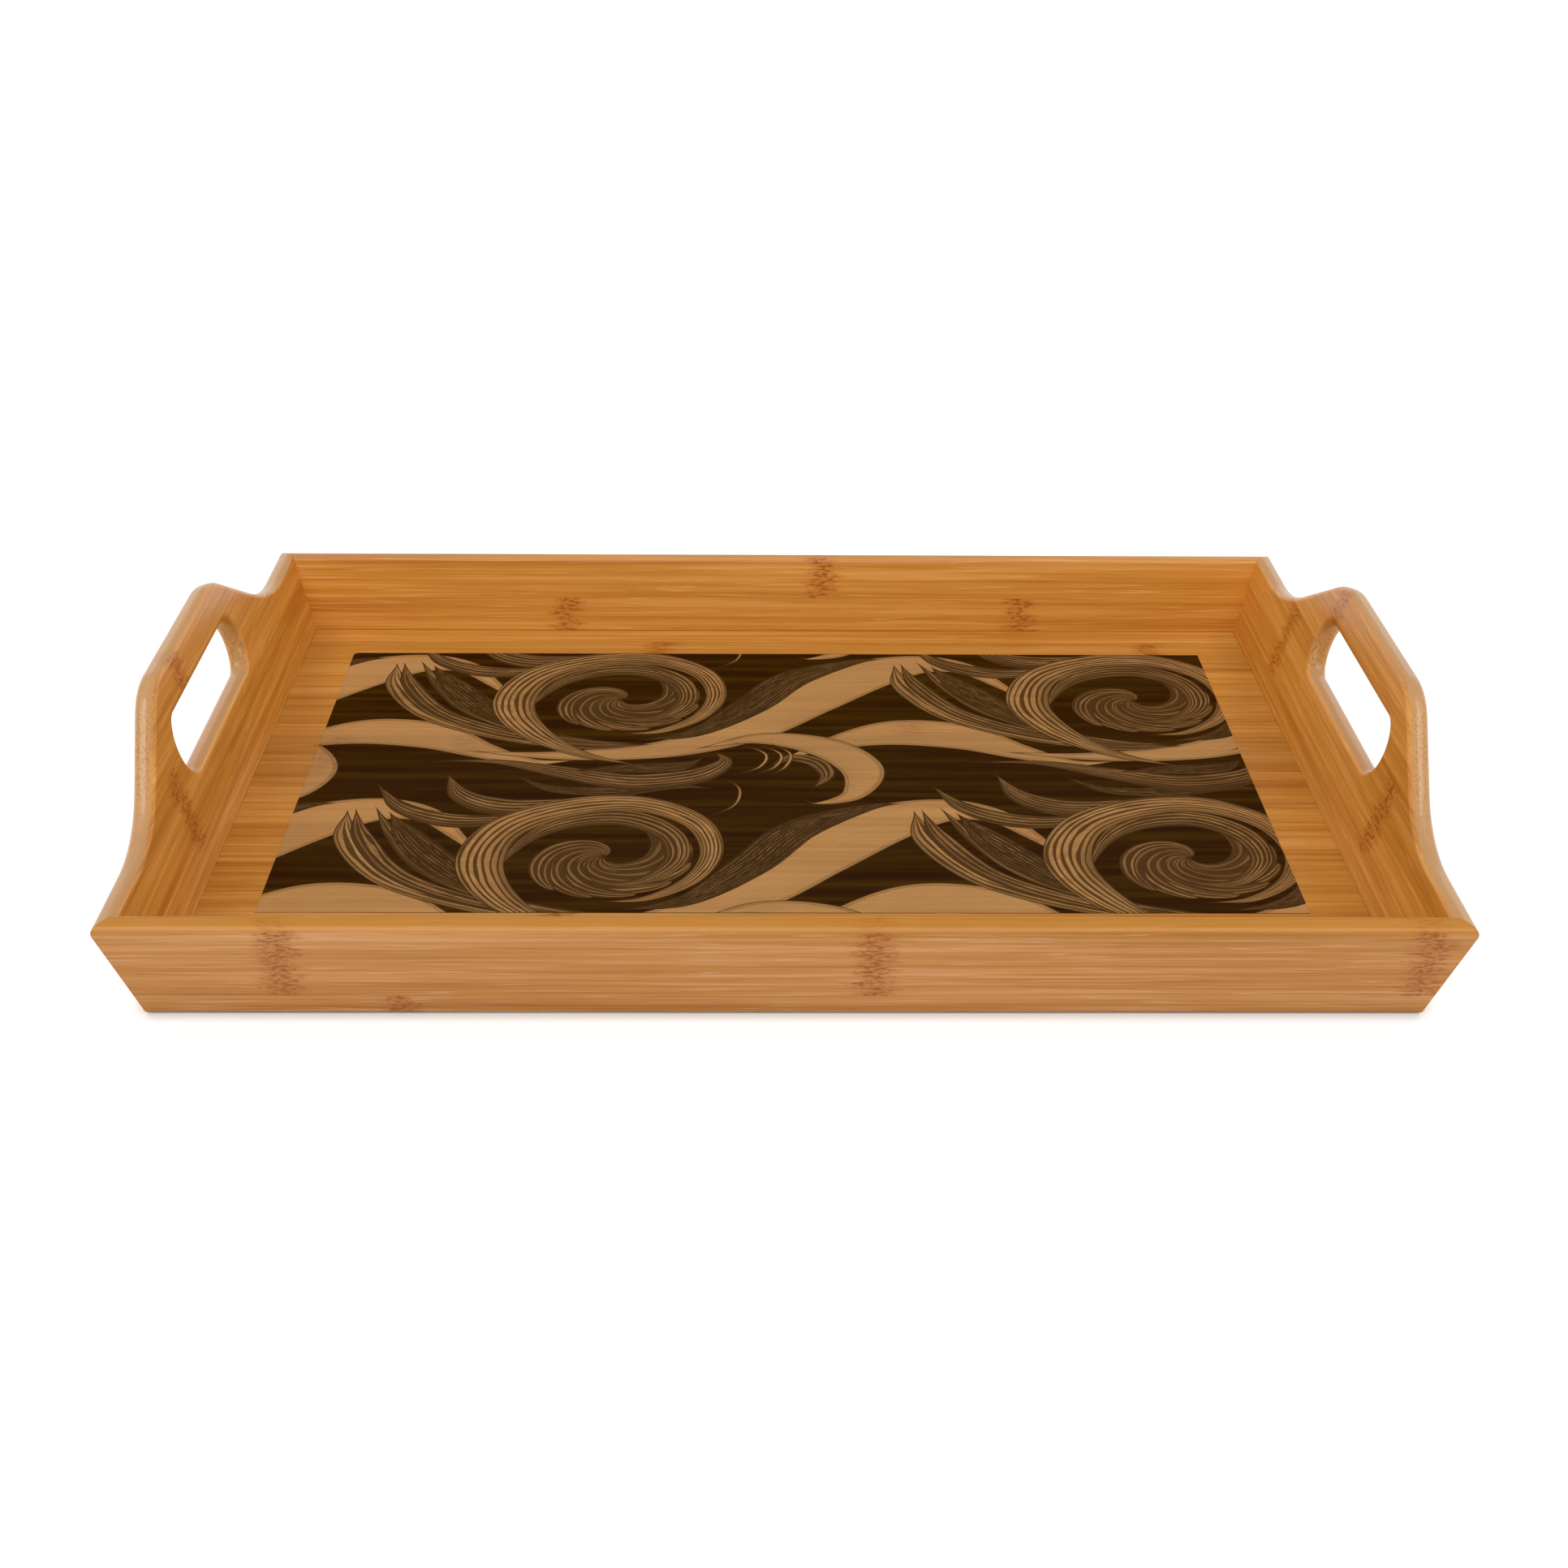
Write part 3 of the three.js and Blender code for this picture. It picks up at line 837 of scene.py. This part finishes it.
def buildFloor():
    # A row of eased bars under one finish
    shader = Shader("bamboo_floor")
    colour, height = floorGrain(shader)
    material = lacquer(shader, colour, height)
    gap = Vector((0, joinery["seamGap"] / 2, 0))
    boxes = [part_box(f"floor_strip_{number + 1:02d}") for number in range(panel["strips"])]
    for number, (low, high) in enumerate(boxes):
        node = f"floor_strip_{number + 1:02d}"
        # each strip closes up to its neighbours, as glued ones do
        rear = high.y if number == 0 else (high.y + boxes[number - 1][0].y) / 2
        front = low.y if number == panel["strips"] - 1 else (low.y + boxes[number + 1][1].y) / 2
        low = Vector((low.x, front, low.z)) + gap
        high = Vector((high.x, rear, high.z)) - gap
        barAlongX(f"{node}_wood", low, high, panel["ease"], material, node)


buildFloor()
print(f"floor: {panel['strips']} glued strips")


# Corner splines stay the shapes they are
raw = {
    "tone": 1.15,
    "seed": (5.0, 2.0, 4.0),
    "roughness": 0.8,
}


def rawSplines():
    # Bamboo as sawn, its grain upright
    shader = Shader("bamboo_raw")
    place = shader.node("ShaderNodeTexCoord").outputs["Object"]
    upright = shader.node("ShaderNodeMapping", {"Vector": place, "Rotation": (0, math.pi / 2, 0)}).outputs[0]
    colour, _ = bambooGrain(shader, upright, raw["seed"], (), raw["tone"])
    shader.tree.links.new(colour, shader.surface.inputs["Base Color"])
    shader.surface.inputs["Roughness"].default_value = raw["roughness"]
    for corner in ("front_right", "rear_right", "rear_left", "front_left"):
        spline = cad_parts[f"{corner}_corner_spline"]
        spline.data.materials.clear()
        spline.data.materials.append(shader.material)


rawSplines()
print("splines: one in each mitre")


# Print. Widths across a stroke are in millimetres, as the strokes are.
ink = {
    "ground": (46, 20, 0),
    "groundStreak": (68, 44, 2),
    "streaks": (0.35, 0.75),  # noise levels between which they show
    "streaksPerMetre": (6, 160, 1),
    "tan": (182, 144, 100),
    "cover": 0.55,  # how far the tan hides the bamboo
    "line": (50, 29, 4),  # engraved lines and outlines
    "roughness": 0.6,
    "specular": 0.02,
    "ease": 0.02 * mm,  # softened edge of the ground
    "rise": 0.004 * mm,  # each stroke lies this much above the one before
    "outline": (0.30, 0.75, 0.9),  # the widths at which it starts to fade and is gone, and how dark it is
    "halo": (0.5, 3.5, 0.30),
    "contour": (1.7, 0.1, 0.4, 0.45),  # how far inside a stroke it runs, its core and edge, and how dark
    "wideStroke": (1.5, 3.0),  # half widths over which a stroke comes to have a halo and a contour
    "wobblePerMillimetre": 0.022,
    "lineWobble": 1.6,  # in lines
    "lineEdge": (-0.10, 0.06, 0.85),
    "swellPerMillimetre": 0.05,  # how often a line grows thick and thin
    "lineApart": 3.7,  # keeps one line's swelling from the next one's
    "brushPerMillimetre": (0.18, 1.3),  # along the stroke and across it
    "brush": (0.42, 0.62),
    "shade": (-1.1, 0.35),  # places across a stroke between which its shade fades
    "shadeWobble": 1.6,
}
# One repeat of the scroll design, in millimetres from the eye of its curl. Each stroke is a brush line: a
# finish, then the points it runs through as (x, y, half its width).
design = {
    "repeat": (214, 140),
    "firstEye": (-282, -62),
    "repeats": (3, 3),
    "step": 1.6,  # from one row of a stroke to the next
    "thin": 0.05,  # half width of a stroke's pointed ends
    "strokes": (
        ("band", (66, -62, 0), (90, -44, 6), (116, -34, 12), (142, -38, 12), (164, -52, 7), (184, -62, 3),
         (204, -60, 0)),
        ("band", (-58, -52, 0), (-20, -56, 4), (22, -50, 8), (54, -30, 13), (78, 0, 17), (104, 24, 15),
         (128, 36, 10), (148, 32, 6), (162, 14, 3), (174, -6, 0)),
        ("band", (34, -50, 0), (60, -40, 5), (86, -48, 9), (100, -68, 9), (96, -90, 5), (82, -98, 1),
         (76, -94, 0)),
        ("strand", (64, -66, 0), (72, -58, 3), (82, -62, 4), (86, -74, 3), (80, -86, 0)),
        ("bark", (10, -42, 0), (34, -34, 4), (56, -8, 8), (74, 20, 8), (100, 38, 3), (114, 42, 0)),
        ("crest", (-96, 36, 0), (-92, 12, 5.5), (-74, -18, 5.5), (-42, -38, 4.4), (-8, -47, 3.3),
         (16, -46, 0)),
        ("strand", (-93, 37, 0), (-87, 13, 4), (-70, -16, 4), (-40, -36, 3.2), (-8, -46, 2.4), (17, -45.6, 0)),
        ("strand", (-86, 39, 0), (-76, 15, 3), (-61, -12, 3), (-36, -32, 2.6), (-8, -43, 2), (15, -44.8, 0)),
        ("bark", (-80, 34, 0), (-70, 14, 6), (-57, -6, 7), (-44, -22, 5), (-30, -38, 0)),
        ("strand", (-88, 58, 0), (-76, 38, 4), (-56, 27, 5.5), (-32, 29, 3.5), (-8, 40, 0)),
        ("strand", (-62, 68, 0), (-54, 48, 5), (-36, 38, 7), (-10, 42, 4), (18, 52, 0)),
        ("bark", (-36, 66, 0), (-20, 54, 3), (4, 52, 4), (28, 56, 2), (44, 54, 0)),
        ("strand", (-72, -62, 0), (-44, -62, 2), (-18, -71, 5), (10, -80, 7), (34, -75, 6.5), (46, -62, 3.5),
         (42, -52, 0)),
        ("bark", (-14, -70, 0), (8, -68, 4), (28, -66, 4), (38, -58, 0)),
        ("band", (50, 66, 0), (60, 74, 0.8), (62, 86, 0.8), (50, 96, 0)),
        ("band", (57, 66, 0), (66, 74, 0.8), (68, 86, 0.8), (57, 96, 0)),
        ("band", (64, 66, 0), (70, 74, 0.8), (72, 86, 0.8), (64, 96, 0)),
        ("band", (40, 30, 0), (50, 40, 0.7), (52, 54, 0.7), (46, 64, 0)),
    ),
    "blades": {  # the curl's heart, with its angles in degrees
        "count": 8,
        "eye": (3, -2),
        "radius": 33,
        "shrink": 0.4,  # of each blade's radius after the one before
        "half": 4.6,
        "first": 80,
        "apart": 29,
        "sweep": 185,
    },
    "curl": (
        ("strand", (-38, -18, 0), (-26, 12, 3), (-10, 27, 6), (10, 29, 6.5), (26, 16, 5.5), (29, -4, 4.5),
         (18, -20, 3), (4, -22, 1.5), (-4, -14, 0)),
        ("crest", (14, -66, 0), (-12, -54, 3), (-33, -32, 7), (-42, -5, 9), (-34, 22, 8.5), (-12, 38, 7.5),
         (14, 41, 6.5), (35, 27, 5.5), (42, 4, 4.5), (36, -18, 3.5), (20, -33, 2), (2, -36, 0)),
    ),
}
# How each finish is inked: how bright its tan is, how many engraved lines to a millimetre of half width, how
# heavy they are, how much one side of the stroke is shaded, and how dark its rough brushing is.
finishes = {
    "band": {"tint": 0.96, "lines": 0.0, "weight": 0.0, "shade": 0.12, "brush": 0.08},
    "crest": {"tint": 0.88, "lines": 0.36, "weight": 0.50, "shade": 0.60, "brush": 0.30},
    "strand": {"tint": 0.64, "lines": 0.42, "weight": 0.68, "shade": 0.85, "brush": 0.45},
    "bark": {"tint": 0.42, "lines": 0.60, "weight": 0.80, "shade": 0.45, "brush": 0.90},
}


def strokePath(points):
    # A smooth curve through the points (Catmull-Rom), in rows about one step apart: x, y and the half width
    knots = np.array(points, float)
    ends = 2 * knots[[0, -1]] - knots[[1, -2]]
    ends[:, 2] = 0
    knots = np.vstack((ends[:1], knots, ends[1:]))
    length = np.linalg.norm(np.diff(knots[1:-1, :2], axis=0), axis=1).sum()
    place = np.linspace(0, len(points) - 1, max(9, int(length / design["step"])))
    index = np.minimum(place.astype(int), len(points) - 2)
    share = (place - index)[:, None]
    before, start, end, after = (knots[index + i] for i in range(4))
    path = start + 0.5 * share * (end - before + share * (
        2 * before - 5 * start + 4 * end - after + share * (3 * (start - end) + after - before)))
    path[:, 2] = np.maximum(path[:, 2], design["thin"])
    return path


def bladePath(number):
    # One blade of the curl: from the rim it winds inward to the eye, the radius shrinking evenly with the
    # angle, and swells and thins as a skewed half wave
    blade = design["blades"]
    share = np.linspace(0, 1, 60)
    radius = (blade["radius"] - blade["shrink"] * number) * (1 - share)
    angle = np.radians(blade["first"] - number * blade["apart"] - blade["sweep"] * share)
    half = blade["half"] * np.sin(np.pi * share ** 0.6) ** 0.9
    x, y = blade["eye"]
    half = np.maximum(half, design["thin"])
    return np.stack((x + radius * np.cos(angle), y + radius * np.sin(angle), half), -1)


def strokeSlab(path, eye, top):
    # A path given its width and a hair of thickness: bottom, two top corners with the middle between, and
    # bottom
    heading = np.gradient(path[:, :2], axis=0)
    heading /= np.linalg.norm(heading, axis=1, keepdims=True)
    aside = np.stack((-heading[:, 1], heading[:, 0]), -1)
    across = np.array((-1.0, -1.0, 0.0, 1.0, 1.0))
    place = eye + path[:, None, :2] + aside[:, None] * path[:, 2, None, None] * across[:, None]
    low = panelHigh.z
    height = np.broadcast_to(np.array((low, top, top, top, low)), place.shape[:2])
    grid = np.concatenate((place * mm, height[..., None]), -1)
    travelled = np.concatenate(((0,), np.cumsum(np.linalg.norm(np.diff(path[:, :2], axis=0), axis=1))))
    stroke = np.stack(np.broadcast_arrays(travelled[:, None], across, path[:, 2, None]), -1)
    return grid, stroke.reshape(-1, 3)


def trimToPrint(mesh, low, high):
    # What falls outside the print's rectangle is sawn off
    work = bmesh.new()
    work.from_mesh(mesh)
    for corner, normal in ((low, (-1, 0, 0)), (low, (0, -1, 0)), (high, (1, 0, 0)), (high, (0, 1, 0))):
        saw(work, corner, normal, False)
    work.to_mesh(mesh)
    work.free()


def layOutStrokes():
    # Every stroke of every repeat that reaches the print: its finish, path, eye and layer
    low, high = (np.array(corner[:2]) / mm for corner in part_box("printed_layer"))
    drawn = [(finish, strokePath(points)) for finish, *points in design["strokes"]]
    drawn += [("strand", bladePath(number)) for number in range(design["blades"]["count"])]
    drawn += [(finish, strokePath(points)) for finish, *points in design["curl"]]
    for row in range(design["repeats"][1]):
        for column in range(design["repeats"][0]):
            eye = np.array(design["firstEye"]) + (column, row) * np.array(design["repeat"])
            for layer, (finish, path) in enumerate(drawn):
                place = eye + path[:, :2]
                margin = path[:, 2].max()
                if (place.max(0) + margin > low).all() and (place.min(0) - margin < high).all():
                    yield finish, path, eye, layer


def inkGround(shader):
    # Nearly opaque dark ink, in which the bamboo's bands still show as faint olive streaks
    place = shader.node("ShaderNodeTexCoord").outputs["Object"]
    streaks = shader.noise(shader.vector("MULTIPLY", place, ink["streaksPerMetre"]), 4, 0.6)
    share = shader.ease(streaks, *ink["streaks"])
    return shader.blend(share, linear(*ink["ground"]), linear(*ink["groundStreak"]))


def engraved(shader, settings, travelled, across, widest, seed, wobble):
    # Lines along a stroke, evenly spaced across it, that wobble together and swell and thin one by one
    count = shader.times(widest, settings["lines"])
    phase = shader.math("MULTIPLY_ADD", across, count, shader.times(wobble, ink["lineWobble"]))
    cell = shader.math("FLOOR", phase)
    within = shader.math("ABSOLUTE", shader.math("SUBTRACT", shader.math("FRACT", phase), 0.5))
    swell = shader.times(travelled, ink["swellPerMillimetre"])
    number = shader.times(cell, ink["lineApart"])
    along = shader.joined(swell, number, seed)
    thick = shader.times(shader.noise(along, 2), settings["weight"])
    core, edge, strength = ink["lineEdge"]
    return shader.ease(shader.math("SUBTRACT", within, thick), core, edge, strength, 0.0)


def inkFinish(finish, settings):
    # Ink over bamboo along a stroke. Its stroke attribute holds the millimetres travelled, the place across
    # from -1 to 1 and the half width; its brush attribute the widest half width and a seed.
    shader = Shader(f"print_{finish}")
    colour, height = floorGrain(shader)
    colour = shader.blend(ink["cover"], colour, linear(*ink["tan"]))
    tan = shader.blend(1.0, colour, (*[settings["tint"]] * 3, 1.0), "MULTIPLY")
    stroke = shader.node("ShaderNodeAttribute", attribute_name="stroke").outputs["Vector"]
    brush = shader.node("ShaderNodeAttribute", attribute_name="brush").outputs["Vector"]
    travelled, across, half = shader.parted(stroke)
    widest, seed, _ = shader.parted(brush)
    fromEdge = shader.times(shader.math("SUBTRACT", 1.0, shader.math("ABSOLUTE", across)), half)
    inner, outer, strength = ink["outline"]
    outline = shader.ease(fromEdge, inner, outer, strength, 0.0)
    inner, outer, strength = ink["halo"]
    halo = shader.ease(fromEdge, inner, outer, strength, 0.0)
    contour = shader.near(fromEdge, *ink["contour"])
    wide = shader.ease(half, *ink["wideStroke"])
    dark = shader.times(wide, shader.math("MAXIMUM", contour, halo))

    slowly = shader.times(travelled, ink["wobblePerMillimetre"])
    slow = shader.joined(slowly, across, seed)
    wobble = shader.noise(slow, 2)
    if settings["lines"]:
        lines = engraved(shader, settings, travelled, across, widest, seed, wobble)
        dark = shader.math("MAXIMUM", dark, lines)

    alongBrush, acrossBrush = ink["brushPerMillimetre"]
    alongBrush = shader.times(travelled, alongBrush)
    acrossBrush = shader.times(shader.times(across, half), acrossBrush)
    brushed = shader.joined(alongBrush, acrossBrush, seed)
    rough = shader.ease(shader.noise(brushed, 4, 0.65), *ink["brush"], 0.0, settings["brush"])
    side = shader.math("MULTIPLY_ADD", shader.math("SUBTRACT", wobble, 0.5), ink["shadeWobble"], across)
    shade = shader.ease(side, *ink["shade"], settings["shade"], 0.0)
    dark = shader.math("MAXIMUM", dark, shader.math("MAXIMUM", rough, shade))
    dark = shader.math("MAXIMUM", dark, outline)
    inked = shader.blend(dark, tan, linear(*ink["line"]))
    return printed(shader, inked, height)


def printed(shader, colour, height):
    # The print is flatter than the lacquered wood round it
    material = lacquer(shader, colour, height)
    shader.surface.inputs["Coat Weight"].default_value = 0.0
    shader.surface.inputs["Roughness"].default_value = ink["roughness"]
    shader.surface.inputs["Specular IOR Level"].default_value = ink["specular"]
    return material


def buildGround():
    # The dark film under the strokes, and the low and high corners that they are trimmed to
    low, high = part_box("printed_layer")
    shader = Shader("print_ground")
    _, height = floorGrain(shader)
    material = printed(shader, inkGround(shader), height)
    barAlongX("print_ground", low, high, ink["ease"], material, "printed_layer")
    return low, high


def buildStrokes(low, high):
    # One piece for each finish, holding all its strokes
    laid = {finish: [] for finish in finishes}
    for number, (finish, path, eye, layer) in enumerate(layOutStrokes()):
        grid, stroke = strokeSlab(path, eye, high.z + (layer + 1) * ink["rise"])
        brush = np.broadcast_to((path[:, 2].max(), 0.71 * number, 0.0), stroke.shape)
        laid[finish].append((*closedBar(grid), stroke, brush))
    for finish, slabs in laid.items():
        starts = np.cumsum([0] + [len(points) for points, *_ in slabs])
        points = np.vstack([slab[0] for slab in slabs])
        faces = [[corner + start for corner in face] for slab, start in zip(slabs, starts)
                 for face in outward(slab[0], slab[1])]
        mesh = bpy.data.meshes.new(f"scroll_{finish}s")
        mesh.from_pydata(points.tolist(), [], faces)
        for name, column in (("stroke", 2), ("brush", 3)):
            values = np.vstack([slab[column] for slab in slabs]).astype(np.float32)
            mesh.attributes.new(name, "FLOAT_VECTOR", "POINT").data.foreach_set("vector", values.ravel())
        trimToPrint(mesh, low, high)
        finishPiece(mesh.name, mesh, inkFinish(finish, finishes[finish]), None)
        print(f"print: {len(slabs)} {finish} strokes, {len(mesh.polygons)} faces")


buildStrokes(*buildGround())
